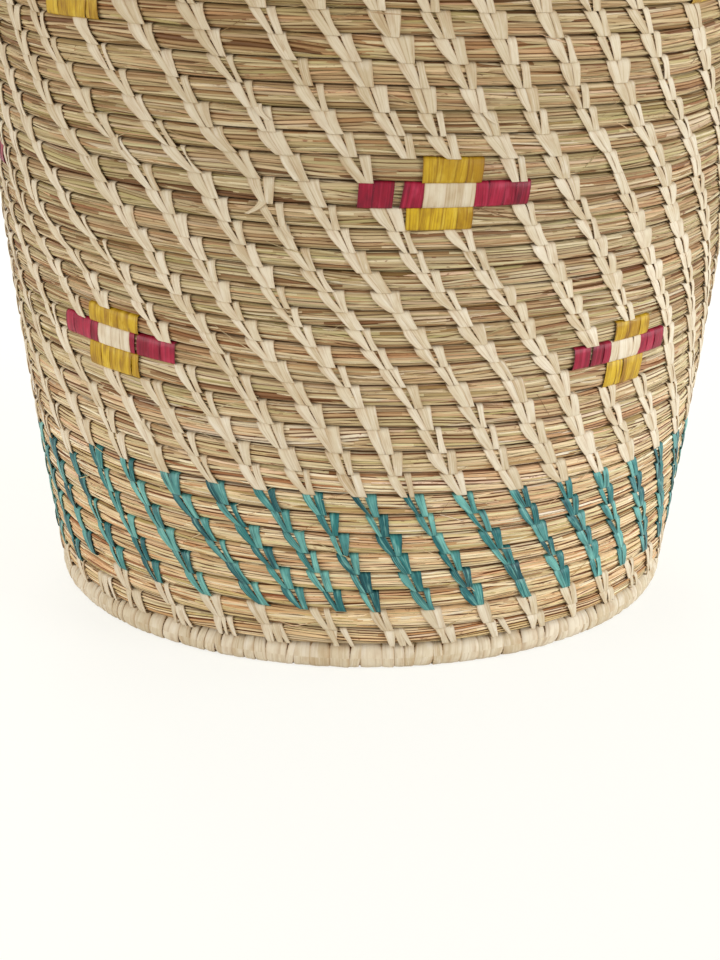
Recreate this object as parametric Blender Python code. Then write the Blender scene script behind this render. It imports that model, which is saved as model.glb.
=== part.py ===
"""A coiled basket, used as a planter.

One cord of grass winds up in a spiral from a wrapped foot to a wrapped rim, and the wall flares.
Strips of palm leaf sew each row to the row below, in columns that lean to the left as they rise.
Six rows near the foot carry teal strips, and three rings of small crosses lie on the wall above.
The front is on the -Y side, and an angle of 0 there grows towards +X.
"""
import math

import bmesh
import bpy
import numpy as np

# Cords, in metres
CORD_DIAMETER = 0.0080
TURN_GAP = 0.0005
FOOT_CORD_DIAMETER = 0.0123
RIM_CORD_DIAMETER = 0.0110

# Outer radius of the wall at the ground, at half its height and at the mouth
FOOT_RADIUS = 0.1303
MIDDLE_RADIUS = 0.1524
MOUTH_RADIUS = 0.1659

# How far the wrapped foot and rim stand out past the line of the wall
FOOT_BULGE = 0.0008
RIM_BULGE = 0.0020

# The floor's underside lies higher than the foot's, so only the foot touches the ground
FLOOR_RISE = 0.0012

# Clearances between pieces that rest on each other
SEAT_GAP = 0.0003
STITCH_CLEARANCE = 0.0007

# Strips of palm leaf
STITCH_WIDTH = 0.0050
STITCH_THICKNESS = 0.0008
CROSS_THICKNESS = 0.0010

# Counts
ROWS = 36
STEPS_PER_TURN = 20
RING_SIDES = 10
STITCH_COLUMNS = 41

# Turns in the middle of the floor that are too tight to show as a spiral
FLOOR_MIDDLE_TURNS = 1

# The wall's cord has a flat face outside and inside. Shares of its radius: how far the faces lie
# from its centre, half their height, and how high the floor's grooves lie over the cord's centre
CORD_FACE_SHARE = 0.92
CORD_FLAT_SHARE = 0.70
FLOOR_GROOVE_SHARE = 0.60

# Rows in the wall's lower sections: the upper section has the rest
BASE_ROWS = 2
TEAL_ROWS = 6
MIDDLE_ROWS = 14

# Angles in degrees: where the cord starts, and how far a column leans in each row
START_ANGLE = -54.0
LEAN_PER_ROW = 2.3

# Part of a cord's diameter that the ground cuts off, and the part of a turn that tapers to nothing
FOOT_CUT_SHARE = 0.1
TAPER_START_SHARE = 0.3

# Crosses: the row of each ring's bar and the angles of the crosses' middles
CROSS_RINGS = {
    "low": (14, (-40.0, 43.5, 137.0, 226.0)),
    "middle": (22, (11.0, 101.0, 192.0, 281.0)),
    "high": (30, (-42.0, 52.5, 143.0, 231.0)),
}
CROSS_BAR_ANGLE = 23.0
CROSS_TIE_ANGLE = 9.5

# Colours, roughness
STRAW = ((0.62, 0.50, 0.32), 0.75)
FLOOR_STRAW = ((0.58, 0.47, 0.30), 0.75)
PALM = ((0.84, 0.74, 0.55), 0.55)
TEAL = ((0.10, 0.42, 0.42), 0.55)
MAGENTA = ((0.55, 0.06, 0.16), 0.50)

CORD_RADIUS = CORD_DIAMETER / 2
ROW_PITCH = CORD_DIAMETER + TURN_GAP
FOOT_CORD_RADIUS = FOOT_CORD_DIAMETER / 2
RIM_CORD_RADIUS = RIM_CORD_DIAMETER / 2
FOOT_HEIGHT = FOOT_CORD_DIAMETER * (1 - FOOT_CUT_SHARE)
PROFILE_HEIGHT = FOOT_HEIGHT + ROWS * ROW_PITCH + RIM_CORD_DIAMETER
STEP_ANGLE = 360.0 / STEPS_PER_TURN


def wall_radius(height):
    """Outer radius of the wall: the parabola through the radii at the ground, middle and mouth."""
    share = height / PROFILE_HEIGHT
    rise = 4 * MIDDLE_RADIUS - 3 * FOOT_RADIUS - MOUTH_RADIUS
    bend = 2 * (FOOT_RADIUS + MOUTH_RADIUS - 2 * MIDDLE_RADIUS)
    return FOOT_RADIUS + rise * share + bend * share * share


# The foot's centre line: its cord is cut flat at the ground
FOOT_CENTRE_HEIGHT = FOOT_CORD_RADIUS - FOOT_CORD_DIAMETER * FOOT_CUT_SHARE
FOOT_CENTRE_RADIUS = wall_radius(FOOT_CENTRE_HEIGHT) + FOOT_BULGE - FOOT_CORD_RADIUS


def height_on_foot(radius):
    """Height of the centre of a cord of this radius that rests on the foot, outside in line.

    The cord rolls over the foot from its top towards its side, until it meets the wall's line.
    """
    reach = FOOT_CORD_RADIUS + radius + SEAT_GAP
    least, most = 0.0, math.radians(90)
    for _ in range(50):
        rolled = (least + most) / 2
        height = FOOT_CENTRE_HEIGHT + reach * math.cos(rolled)
        outside = FOOT_CENTRE_RADIUS + reach * math.sin(rolled) + radius
        if outside < wall_radius(height):
            least = rolled
        else:
            most = rolled
    return FOOT_CENTRE_HEIGHT + reach * math.cos(least)


FIRST_TURN_HEIGHT = height_on_foot(CORD_RADIUS)
WALL_BASE = FIRST_TURN_HEIGHT - ROW_PITCH / 2
WALL_TOP = FIRST_TURN_HEIGHT + ROW_PITCH * (ROWS - 1) + CORD_RADIUS
RIM_CENTRE_HEIGHT = WALL_TOP + SEAT_GAP + RIM_CORD_RADIUS
RIM_CENTRE_RADIUS = wall_radius(RIM_CENTRE_HEIGHT) + RIM_BULGE - RIM_CORD_RADIUS
FLOOR_CENTRE_HEIGHT = FOOT_CENTRE_HEIGHT + FLOOR_RISE
FLOOR_EDGE_REACH = FOOT_CORD_RADIUS + SEAT_GAP + CORD_RADIUS
FLOOR_EDGE_RADIUS = FOOT_CENTRE_RADIUS - math.sqrt(FLOOR_EDGE_REACH ** 2 - FLOOR_RISE ** 2)


def around(radius, angle, height):
    """The point at this radius, angle from the front and height."""
    turned = math.radians(angle)
    return np.array([radius * math.sin(turned), -radius * math.cos(turned), height])


def make_material(name, finish):
    colour, roughness = finish
    material = bpy.data.materials.new(name)
    material.use_nodes = True
    shader = material.node_tree.nodes["Principled BSDF"]
    shader.inputs["Base Color"].default_value = (*colour, 1.0)
    shader.inputs["Roughness"].default_value = roughness
    shader.inputs["Metallic"].default_value = 0.0
    return material


def add_object(name, data, finish):
    made = bpy.data.objects.new(name, data)
    data.materials.append(make_material(name, finish))
    bpy.context.scene.collection.objects.link(made)
    return made


def add_mesh(name, mesh_builder, finish):
    """Turn a finished bmesh into an object, with its faces pointing out."""
    bmesh.ops.recalc_face_normals(mesh_builder, faces=mesh_builder.faces)
    mesh = bpy.data.meshes.new(name)
    mesh_builder.to_mesh(mesh)
    mesh_builder.free()
    return add_object(name, mesh, finish)


# Wall


def cord_radius_at(turn):
    """The cord's radius: full, but it tapers in on the foot and out under the rim."""
    spare = ROW_PITCH * min(turn, ROWS + 1 - turn, 1.0) - TURN_GAP
    return spare / 2


def cord_point(turn):
    """Centre of the wall's cord after this many turns from its start on the foot."""
    radius = cord_radius_at(turn)
    if turn < 1:
        height = height_on_foot(radius)
    elif turn <= ROWS:
        height = FIRST_TURN_HEIGHT + ROW_PITCH * (turn - 1)
    else:
        height = FIRST_TURN_HEIGHT + ROW_PITCH * (turn - 2) + CORD_RADIUS + TURN_GAP + radius
    return around(wall_radius(height) - radius, START_ANGLE - 360.0 * turn, height)


def section_steps(first_turn, last_turn):
    """Points, radii and turns of one section of the wall's cord.

    The cord's own two ends are its tapered tips. At a joint with the next section each end lies
    in the middle of a straight step, half a gap short.
    """
    first_step = round(first_turn * STEPS_PER_TURN)
    last_step = round(last_turn * STEPS_PER_TURN)
    turns = [step / STEPS_PER_TURN for step in range(first_step, last_step + 1)]
    points = [cord_point(turn) for turn in turns]
    half_step = 0.5 / STEPS_PER_TURN
    if first_turn >= 1:
        points[0] = joint_end(points[0], points[1])
        turns[0] += half_step
    if last_turn <= ROWS:
        points.append(joint_end(cord_point(turns[-1] + 2 * half_step), points[-1]))
        turns.append(turns[-1] + half_step)
    radii = [cord_radius_at(turn) for turn in turns]
    return points, radii, turns


def joint_end(far, near):
    """The end of a section on the step from near to far: its middle, less half the gap."""
    middle = (near + far) / 2
    along = (far - near) / np.linalg.norm(far - near)
    return middle - along * SEAT_GAP / 2


def least_gap(points, radii):
    """Least clear distance between parts of one cord that are over half a turn apart.

    It is measured on four points of each step, as between round cords.
    """
    fine = []
    fine_radii = []
    for start, end, radius, next_radius in zip(points, points[1:], radii, radii[1:]):
        for share in (0.0, 0.25, 0.5, 0.75):
            fine.append(start + (end - start) * share)
            fine_radii.append(radius + (next_radius - radius) * share)
    fine = np.array(fine)
    fine_radii = np.array(fine_radii)
    half_turn = STEPS_PER_TURN * 2
    least = math.inf
    for index in range(len(fine) - half_turn):
        others = slice(index + half_turn, None)
        clear = np.linalg.norm(fine[others] - fine[index], axis=1)
        clear = clear - fine_radii[others] - fine_radii[index]
        least = min(least, float(clear.min()))
    return least


def cord_outline():
    """The cord's outline in shares of its radius, outwards and up.

    It has a flat face outside and inside, and a low ridge where it meets the next row.
    """
    face, flat = CORD_FACE_SHARE, CORD_FLAT_SHARE
    return ((face, -flat), (face, flat), (0, 1), (-face, flat), (-face, -flat), (0, -1))


def add_cord(name, points, radii, turns, finish):
    """One unbroken tube along the points, with the cord's outline square to the wall."""
    builder = bmesh.new()
    loops = []
    for point, radius, turn in zip(points, radii, turns):
        angle = START_ANGLE - 360.0 * turn
        loop = []
        for outwards, up in cord_outline():
            corner = around(radius * outwards, angle, radius * up)
            loop.append(builder.verts.new(point + corner))
        loops.append(loop)
    join_loops(builder, loops)
    add_mesh(name, builder, finish)


def add_wall():
    """The wall's cord in four sections. At a joint the cord has wound as often as it has rows."""
    upper_start = BASE_ROWS + TEAL_ROWS + MIDDLE_ROWS
    sections = (
        ("wall_coil_base", TAPER_START_SHARE, BASE_ROWS, STRAW),
        ("wall_coil_teal", BASE_ROWS, BASE_ROWS + TEAL_ROWS, TEAL),
        ("wall_coil_middle", BASE_ROWS + TEAL_ROWS, upper_start, STRAW),
        ("wall_coil_upper", upper_start, ROWS + 1 - TAPER_START_SHARE, STRAW),
    )
    for name, first_turn, last_turn, finish in sections:
        points, radii, turns = section_steps(first_turn, last_turn)
        print(f"{name}: least gap to itself {1000 * least_gap(points, radii):.2f} mm")
        add_cord(name, points, radii, turns, finish)


# Foot, floor and rim


def spin_profile(name, profile, finish):
    """Turn a closed outline of (radius, height) points about the basket's axis."""
    builder = bmesh.new()
    outline = [builder.verts.new(around(radius, START_ANGLE, height)) for radius, height in profile]
    edges = [builder.edges.new((a, b)) for a, b in zip(outline, outline[1:] + outline[:1])]
    bmesh.ops.spin(
        builder,
        geom=outline + edges,
        cent=(0, 0, 0),
        axis=(0, 0, 1),
        angle=math.radians(360),
        steps=STEPS_PER_TURN,
        use_merge=True,
    )
    return add_mesh(name, builder, finish)


def ring_profile(centre_radius, centre_height, radius, floor_height=-math.inf):
    """A round cord's outline, whose points below floor_height are brought up to it."""
    outline = []
    for side in range(RING_SIDES):
        turned = math.radians(360) * (side + 0.5) / RING_SIDES
        height = centre_height + radius * math.sin(turned)
        if height < floor_height:
            reach = math.sqrt(radius ** 2 - (centre_height - floor_height) ** 2)
            outline.append((centre_radius + math.copysign(reach, math.cos(turned)), floor_height))
        else:
            outline.append((centre_radius + radius * math.cos(turned), height))
    return outline


def add_foot():
    profile = ring_profile(FOOT_CENTRE_RADIUS, FOOT_CENTRE_HEIGHT, FOOT_CORD_RADIUS, floor_height=0)
    spin_profile("foot_coil", profile, PALM)


def add_rim():
    spin_profile("rim_coil", ring_profile(RIM_CENTRE_RADIUS, RIM_CENTRE_HEIGHT, RIM_CORD_RADIUS), PALM)


def add_floor():
    """The floor's flat spiral: a disc with a rounded edge, and a ridge for each turn on its faces.

    Each turn has a crest line and, half a row further out, a groove line. The last turn narrows
    to nothing between the groove inside it and the disc's edge.
    """
    builder = bmesh.new()
    edge_turned = math.asin(FLOOR_GROOVE_SHARE)
    edge_radius = FLOOR_EDGE_RADIUS + CORD_RADIUS * math.cos(edge_turned)
    edge_step = math.ceil((edge_radius / ROW_PITCH - 0.5) * STEPS_PER_TURN)
    edges = []
    for turned in (-edge_turned, 0, edge_turned):
        radius = FLOOR_EDGE_RADIUS + CORD_RADIUS * math.cos(turned)
        height = FLOOR_CENTRE_HEIGHT + CORD_RADIUS * math.sin(turned)
        angles = [START_ANGLE - STEP_ANGLE * (edge_step + corner) for corner in range(STEPS_PER_TURN)]
        edges.append([builder.verts.new(around(radius, angle, height)) for angle in angles])
    for lower, upper in zip(edges, edges[1:]):
        bridge_loops(builder, lower, upper)
    add_floor_face(builder, edges[0], edge_radius, edge_step, -CORD_RADIUS)
    add_floor_face(builder, edges[-1], edge_radius, edge_step, CORD_RADIUS)
    add_mesh("floor_coil", builder, FLOOR_STRAW)


def add_floor_face(builder, edge, edge_radius, edge_step, crest):
    """One face of the floor. The groove becomes the disc's edge from edge_step on.

    crest is the height of the ridge over the floor's middle, below 0 on the underside.
    """
    first_step = FLOOR_MIDDLE_TURNS * STEPS_PER_TURN
    last_step = edge_step + STEPS_PER_TURN
    crests = {}
    grooves = {}
    for step in range(first_step, last_step):
        turn = step / STEPS_PER_TURN
        angle = START_ANGLE - 360.0 * turn
        near = ROW_PITCH * (turn - 0.5)
        far = min(ROW_PITCH * (turn + 0.5), edge_radius)
        ridge = (1 - FLOOR_GROOVE_SHARE) * (far - near) / ROW_PITCH
        height = FLOOR_CENTRE_HEIGHT + crest * (FLOOR_GROOVE_SHARE + ridge)
        crests[step] = builder.verts.new(around((near + far) / 2, angle, height))
        if step < edge_step:
            sunk = (1 - FLOOR_GROOVE_SHARE) * min(turn - FLOOR_MIDDLE_TURNS, 1)
            height = FLOOR_CENTRE_HEIGHT + crest * (1 - sunk)
            grooves[step] = builder.verts.new(around(far, angle, height))
        else:
            grooves[step] = edge[step - edge_step]
    crests[last_step] = grooves[last_step] = edge[0]
    builder.faces.new([crests[step] for step in range(first_step, first_step + STEPS_PER_TURN + 1)]
                      + [grooves[first_step]])
    for step in range(first_step, last_step):
        corners = (crests[step], crests[step + 1], grooves[step + 1], grooves[step])
        builder.faces.new(list(dict.fromkeys(corners)))
    for step in range(first_step, edge_step):
        outer = step + STEPS_PER_TURN
        corners = (grooves[step], grooves[step + 1], crests[outer + 1], crests[outer])
        builder.faces.new(list(dict.fromkeys(corners)))


def bridge_loops(builder, lower, upper):
    """Skin the band between two closed loops of as many points."""
    for index in range(len(lower)):
        following = (index + 1) % len(lower)
        builder.faces.new((lower[index], lower[following], upper[following], upper[index]))


def join_loops(builder, loops):
    """Skin a row of closed loops of points, and cap both ends."""
    for lower, upper in zip(loops, loops[1:]):
        bridge_loops(builder, lower, upper)
    builder.faces.new(loops[0])
    builder.faces.new(loops[-1])


# Stitches and crosses


def turn_share(angle):
    """The part of a turn that the cord has wound at this angle, more than 0 and at most 1."""
    share = (START_ANGLE - angle) / 360.0 % 1.0
    return share if share > 0 else 1.0


def row_bottom(row, angle):
    """Height of the bottom of a row at this angle, where row 0 lies on the foot."""
    return WALL_BASE + ROW_PITCH * (row - 1 + turn_share(angle))


def crest_radius(angle, height):
    """Radius of the wall's crest, which is a polygon with a corner at each step of the cord.

    The cord's outline has a flat face there, which lies a little inside the cord's radius.
    """
    half_step = STEP_ANGLE / 2
    from_middle = (angle - START_ANGLE) % STEP_ANGLE - half_step
    side_inset = CORD_RADIUS * (1 - CORD_FACE_SHARE)
    flat = (wall_radius(height) - side_inset) * math.cos(math.radians(half_step))
    return flat / math.cos(math.radians(from_middle))


def column_angles(first_angle, last_angle):
    """Angles down from first to last: the corners and the middles of the wall's flats between."""
    half_step = STEP_ANGLE / 2
    first_corner = math.ceil((first_angle - START_ANGLE) / half_step) - 1
    last_corner = math.floor((last_angle - START_ANGLE) / half_step) + 1
    between = [START_ANGLE + half_step * index for index in range(first_corner, last_corner - 1, -1)]
    return [first_angle] + between + [last_angle]


def add_stitch_column(number):
    """One leaning column of stitches, from the teal rows to the rim, as a strip on the crests."""
    low_angle = START_ANGLE + 360.0 * (number + 0.5) / STITCH_COLUMNS
    low = row_bottom(BASE_ROWS + TEAL_ROWS, low_angle)
    high_angle = low_angle - LEAN_PER_ROW * (WALL_TOP - low) / ROW_PITCH
    builder = bmesh.new()
    loops = []
    for angle in column_angles(low_angle, high_angle):
        height = low + ROW_PITCH * (low_angle - angle) / LEAN_PER_ROW
        inner = crest_radius(angle, height) + STITCH_CLEARANCE
        sideways = around(STITCH_WIDTH / 2, angle + 90, 0)
        corners = (
            around(inner, angle, height) - sideways,
            around(inner, angle, height) + sideways,
            around(inner + STITCH_THICKNESS, angle, height) + sideways,
            around(inner + STITCH_THICKNESS, angle, height) - sideways,
        )
        loops.append([builder.verts.new(corner) for corner in corners])
    join_loops(builder, loops)
    add_mesh(f"stitch_column_{number + 1:02d}", builder, PALM)


def add_cross(name, bar_row, middle_angle):
    """One cross: a bar one row high, with a shorter tie over the row above and the row below."""
    ends = (CROSS_BAR_ANGLE / 2, CROSS_TIE_ANGLE / 2)
    lines = [middle_angle - ends[0], middle_angle - ends[1], middle_angle + ends[1], middle_angle + ends[0]]
    first_corner = math.ceil((lines[0] - START_ANGLE) / STEP_ANGLE)
    last_corner = math.floor((lines[-1] - START_ANGLE) / STEP_ANGLE)
    lines += [START_ANGLE + STEP_ANGLE * index for index in range(first_corner, last_corner + 1)]
    lines.sort()
    inner_offset = 2 * STITCH_CLEARANCE + STITCH_THICKNESS
    builder = bmesh.new()
    start_share = turn_share(middle_angle)
    points = {}

    def corner(column, row):
        if (column, row) not in points:
            angle = lines[column]
            wound = start_share - (angle - middle_angle) / 360.0
            height = WALL_BASE + ROW_PITCH * (row - 1 + wound)
            radius = crest_radius(angle, height) + inner_offset
            points[column, row] = builder.verts.new(around(radius, angle, height))
        return points[column, row]

    for column in range(len(lines) - 1):
        middle_of_cell = (lines[column] + lines[column + 1]) / 2
        in_tie = abs(middle_of_cell - middle_angle) < ends[1]
        for row in (bar_row - 1, bar_row, bar_row + 1):
            if row == bar_row or in_tie:
                builder.faces.new((
                    corner(column, row),
                    corner(column + 1, row),
                    corner(column + 1, row + 1),
                    corner(column, row + 1),
                ))
    raised = bmesh.ops.extrude_face_region(builder, geom=builder.faces[:])
    for vertex in raised["geom"]:
        if isinstance(vertex, bmesh.types.BMVert):
            outward = math.hypot(vertex.co.x, vertex.co.y)
            vertex.co.x *= 1 + CROSS_THICKNESS / outward
            vertex.co.y *= 1 + CROSS_THICKNESS / outward
    add_mesh(name, builder, MAGENTA)


def main():
    for old in list(bpy.data.objects):
        bpy.data.objects.remove(old)
    add_floor()
    add_foot()
    add_wall()
    add_rim()
    for number in range(STITCH_COLUMNS):
        add_stitch_column(number)
    for ring, (row, angles) in CROSS_RINGS.items():
        for index, angle in enumerate(angles):
            add_cross(f"cross_{ring}_{index + 1}", row, angle)
    print(f"height {RIM_CENTRE_HEIGHT + RIM_CORD_RADIUS:.4f} m, wall base {WALL_BASE:.4f} m")


main()
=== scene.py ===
"""Looks of the coiled basket: straw cords, palm leaf stitches, dyed strips, wraps and the studio.

Every piece is a set of closed shells worked out with numpy. Angles are in degrees from the front,
-Y, and grow towards +X. The wall's cord is followed by its turn: one more turn is one row higher.
"""

import math
from functools import partial

import bpy
import numpy as np
from mathutils import Matrix


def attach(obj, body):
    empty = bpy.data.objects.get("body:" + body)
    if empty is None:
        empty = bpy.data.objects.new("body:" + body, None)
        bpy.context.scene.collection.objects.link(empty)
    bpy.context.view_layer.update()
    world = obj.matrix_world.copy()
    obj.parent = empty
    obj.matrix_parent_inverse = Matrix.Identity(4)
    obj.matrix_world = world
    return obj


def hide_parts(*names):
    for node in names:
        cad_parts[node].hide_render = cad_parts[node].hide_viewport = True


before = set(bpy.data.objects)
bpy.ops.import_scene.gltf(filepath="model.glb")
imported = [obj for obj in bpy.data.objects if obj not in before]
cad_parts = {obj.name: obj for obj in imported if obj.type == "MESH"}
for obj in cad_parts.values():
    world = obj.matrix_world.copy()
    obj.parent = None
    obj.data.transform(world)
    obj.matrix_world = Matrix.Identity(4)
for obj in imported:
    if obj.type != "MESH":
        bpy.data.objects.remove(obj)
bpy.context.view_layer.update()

# Sizes of the basket in metres, as its solids have them
CORD_DIAMETER = 0.0080
ROW_PITCH = 0.0085
FOOT_CORD_DIAMETER = 0.0123
RIM_CORD_DIAMETER = 0.0110
FOOT_RADIUS = 0.1303
MIDDLE_RADIUS = 0.1524
MOUTH_RADIUS = 0.1659
FOOT_BULGE = 0.0008
RIM_BULGE = 0.0020
FLOOR_RISE = 0.0012
SEAT_GAP = 0.0003
FOOT_CUT_SHARE = 0.1
ROWS = 36
START_ANGLE = -54.0
# The part of a turn that the cord has wound at the front
FRONT_SHARE = 0.85

CORD_RADIUS = CORD_DIAMETER / 2
FOOT_CORD_RADIUS = FOOT_CORD_DIAMETER / 2
RIM_CORD_RADIUS = RIM_CORD_DIAMETER / 2
PROFILE_HEIGHT = FOOT_CORD_DIAMETER * (1 - FOOT_CUT_SHARE) + ROWS * ROW_PITCH + RIM_CORD_DIAMETER

# Turns of the wall's cord at which its sections, and with them the colours of the stitches, change
BASE_END = 2
TEAL_END = 8
MIDDLE_END = 22
CORD_START = 0.1
CORD_END = ROWS + 0.95

# Columns of stitches, and the angles of those that show at the front at the lower edge of four rows
STITCH_COLUMNS = 41
COLUMN_ANGLES = {
    3: (
        -48.5, -39.5, -30.0, -19.8, -12.5, -6.0, 0.5, 9.5, 17.8, 27.0,
        35.5, 43.5, 51.0, 59.5, 68.0, 76.5, 85.0, 93.5, 102.0, 110.5,
    ),
    8: (
        -60.0, -51.0, -42.8, -33.8, -24.9, -16.2, -8.8, -0.5, 7.6, 16.1,
        25.2, 33.6, 41.7, 49.6, 58.0, 66.5, 75.0, 83.5, 92.0, 100.5,
    ),
    19: (
        -87.0, -78.0, -69.0, -60.0, -51.5, -41.5, -31.5, -23.5, -15.0, -6.8,
        0.6, 8.7, 17.3, 27.5, 36.3, 45.5, 54.0, 62.5, 71.0, 79.5,
    ),
    29: (
        -110.0, -101.0, -92.5, -84.0, -75.5, -66.0, -55.0, -48.0, -39.5, -30.1,
        -20.5, -10.7, -3.0, 10.9, 18.1, 26.0, 33.2, 40.6, 51.0, 59.5,
    ),
}
# One more column starts at the front's cross and runs up from there
ADDED_COLUMN = (52.0, 43.0, 20.7, 4.3)
ADDED_FROM = 24.4
# How far the columns lie to the right of those lines, in degrees, by row and angle. Each line has
# its row, the value behind and the values at the front, from the third of the angles on
SHIFT_ANGLES = (-180, -70, -50, -30, -20, -10, 10, 20, 30, 50, 70, 180)
COLUMN_SHIFTS = (
    (3, 0, (0.3, 0.0, 0.1, 0.2, -0.2, 0.0, 0.2, 0.3, 0)),
    (6, 0, (0.6, 0.2, 0.3, 0.5, -0.6, -0.6, -0.7, -0.6, 0)),
    (7, 0, (0.2, -0.2, -0.1, 0.9, -0.7, -0.8, -0.7, -0.4, 0)),
    (8.5, 0, (2.3, 1.2, 0.4, 0.2, -0.8, -1.1, -0.6, -0.7, 0)),
    (11, 0, (3.7, 1.0, 1.2, 1.3, 0.2, -0.2, -0.8, -2.2, 0)),
    (13, 0, (2.5, 1.0, 1.0, 1.0, 0.2, 0.6, 0.4, -1.6, 0)),
    (15, 0, (3.0, 0.8, 0.3, -0.3, -0.2, -0.3, -1.2, -0.1, 0)),
    (17.5, 0, (2.6, -0.3, -0.8, -0.9, -0.7, -1.0, -1.1, -0.9, 0)),
    (20, 0, (-3.6, -0.3, -0.2, -1.4, -1.4, -1.7, -0.8, -1.6, 0)),
    (21.5, 0, (-3.4, 0.3, 0.4, -1.0, -1.7, -1.8, -1.8, -1.2, 0)),
    (23, 0, (-4.2, 0.8, 1.7, -0.4, -2.0, 0.5, -2.0, -0.6, 1.0)),
    (25, 0, (-4.8, -0.7, -0.8, -1.1, -1.6, -1.0, -2.8, -1.9, -0.6)),
    (26.5, 0, (-4.1, -0.4, -0.2, -0.8, -1.3, -1.1, -2.3, -1.7, -0.6)),
    (28, 0, (-3.8, -0.5, -0.7, -0.8, -0.6, -1.2, -1.2, -1.3, -0.6)),
    (30, 0, (-1.9, -0.4, -0.5, -0.8, -1.0, -0.9, -1.1, -1.4, -0.6)),
    (33, 0, (0, 0, 0, 0, 0, 0, 0, 0, 0)),
)
# Columns of the two lowest rows, which are fewer, and the turn of the first stitch
BASE_COLUMNS = 40
BASE_STITCH_START = 0.6
BASE_FRONT_ANGLES = (-47.0, -37.0, -27.0, -18.3, -7.0, 2.8, 11.5, 20.7, 29.0, 38.0, 46.5)

# Crosses: row of the bar and its middle, where the bar's colours begin and end, a slit in it where
# straw shows, then the reach of the upper and the lower tie
CROSSES = (
    (13, -40.2, (-11.3, -3.4, 3.1, 11.4), (4.0, 4.6), (-5.0, 5.0), (-5.9, 4.4)),
    (13, 43.4, (-10.3, -3.1, 3.4, 9.8), (-7.2, -6.8), (-2.5, 5.1), (-3.5, 4.6)),
    (13, 137.0, (-11.0, -3.5, 3.2, 11.0), (), (-4.0, 4.8), (-4.6, 4.0)),
    (13, 226.0, (-11.4, -3.2, 3.6, 10.8), (6.2, 6.6), (-4.4, 4.4), (-5.0, 4.4)),
    (22, 11.4, (-12.2, -3.4, 3.6, 11.5), (-7.5, -6.3), (-3.6, 4.6), (-5.7, 3.4)),
    (22, 101.0, (-11.0, -3.4, 3.4, 11.4), (), (-4.2, 4.6), (-4.8, 4.0)),
    (22, 192.0, (-11.6, -3.2, 3.4, 10.6), (-5.8, -5.4), (-4.6, 4.0), (-4.4, 4.6)),
    (22, 281.0, (-11.2, -3.6, 3.3, 11.2), (), (-4.0, 4.8), (-5.2, 4.0)),
    (30, -42.0, (-11.4, -3.4, 3.4, 11.0), (), (-5.2, 4.6), (-5.2, 4.8)),
    (31, 53.9, (-11.0, -3.3, 3.6, 11.2), (), (-4.4, 4.6), (-4.8, 4.4)),
    (30, 143.0, (-11.0, -3.5, 3.3, 11.0), (-6.4, -6.0), (-4.6, 4.2), (-4.6, 4.6)),
    (30, 231.0, (-11.4, -3.4, 3.5, 10.8), (), (-4.2, 4.8), (-5.0, 4.2)),
)
RINGS_OF_CROSSES = ("low", "middle", "high")
CROSS_STRIP_ANGLE = 2.2
# How far past a block's left and right end the stitches are left out, in degrees
CROSS_MARGINS = (0.6, 2.0)


def wall_radius(height):
    """Outer radius of the wall: the parabola through the radii at the ground, middle and mouth."""
    share = height / PROFILE_HEIGHT
    rise = 4 * MIDDLE_RADIUS - 3 * FOOT_RADIUS - MOUTH_RADIUS
    bend = 2 * (FOOT_RADIUS + MOUTH_RADIUS - 2 * MIDDLE_RADIUS)
    return FOOT_RADIUS + rise * share + bend * share * share


FOOT_CENTRE_HEIGHT = FOOT_CORD_RADIUS - FOOT_CORD_DIAMETER * FOOT_CUT_SHARE
FOOT_CENTRE_RADIUS = wall_radius(FOOT_CENTRE_HEIGHT) + FOOT_BULGE - FOOT_CORD_RADIUS


def first_turn_height():
    """Height of the wall's cord where it rolls over the foot until it meets the wall's line."""
    reach = FOOT_CORD_RADIUS + CORD_RADIUS + SEAT_GAP
    rolled = np.radians(np.linspace(0, 90, 90001))
    height = FOOT_CENTRE_HEIGHT + reach * np.cos(rolled)
    outside = FOOT_CENTRE_RADIUS + reach * np.sin(rolled) + CORD_RADIUS
    return float(height[np.argmax(outside >= wall_radius(height))])


WALL_BASE = first_turn_height() - ROW_PITCH / 2
WALL_TOP = WALL_BASE + ROW_PITCH * ROWS
RIM_CENTRE_HEIGHT = WALL_TOP + SEAT_GAP + RIM_CORD_RADIUS
RIM_CENTRE_RADIUS = wall_radius(RIM_CENTRE_HEIGHT) + RIM_BULGE - RIM_CORD_RADIUS
FLOOR_CENTRE_HEIGHT = FOOT_CENTRE_HEIGHT + FLOOR_RISE
FLOOR_EDGE_REACH = FOOT_CORD_RADIUS + SEAT_GAP + CORD_RADIUS
FLOOR_EDGE_RADIUS = FOOT_CENTRE_RADIUS - math.sqrt(FLOOR_EDGE_REACH ** 2 - FLOOR_RISE ** 2)


# Places on the basket


def wound(angle):
    """The part of a turn that the cord has wound from its start to this angle."""
    return (START_ANGLE - angle) / 360


def around(radius, angle, height):
    """Points at these radii, angles from the front and heights."""
    radius, angle, height = np.broadcast_arrays(radius, np.radians(angle), height)
    return np.stack([radius * np.sin(angle), -radius * np.cos(angle), height], axis=-1)


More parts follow.
